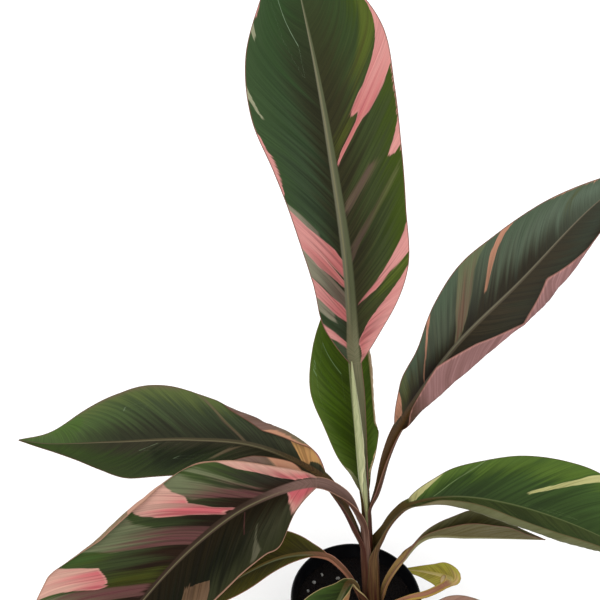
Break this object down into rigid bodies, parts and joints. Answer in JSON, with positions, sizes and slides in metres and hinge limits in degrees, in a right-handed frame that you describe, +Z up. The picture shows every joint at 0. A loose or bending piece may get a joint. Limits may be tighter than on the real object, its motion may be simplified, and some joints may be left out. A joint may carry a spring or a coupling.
{
  "type": "variegated banana plant in a nursery pot",
  "caption": "Young banana plant in a round black nursery pot: sheathed stem, paddle-shaped leaves striped pink, cream and green.",
  "frame": {"origin": "middle of the pot's flat base, on the surface it stands on", "axes": "+Z up, +Y away from the picture's camera, +X to the picture's right"},
  "size_m": [0.5026, 0.2076, 0.5763],
  "materials": {
    "pot": "satin black",
    "soil": "rough, moist",
    "leaf_green": "waxy satin",
    "leaf_dark": "waxy satin",
    "leaf_pink": "waxy satin",
    "leaf_pale": "satin",
    "leaf_yellow": "satin"
  },
  "bodies": {
    "root": {"pot": "pot", "soil": "soil", "leaf_rolled": "leaf_pale", "leaf_upright": "leaf_green", "leaf_back": "leaf_green", "leaf_right_upper": "leaf_dark", "leaf_left_upper": "leaf_green", "leaf_left_lower": "leaf_pink", "leaf_right_middle": "leaf_green", "leaf_right_lower": "leaf_pale", "leaf_yellow": "leaf_yellow", "leaf_low_right": "leaf_pink", "leaf_low_left": "leaf_dark", "leaf_low_front": "leaf_green"}
  },
  "joints": []
}
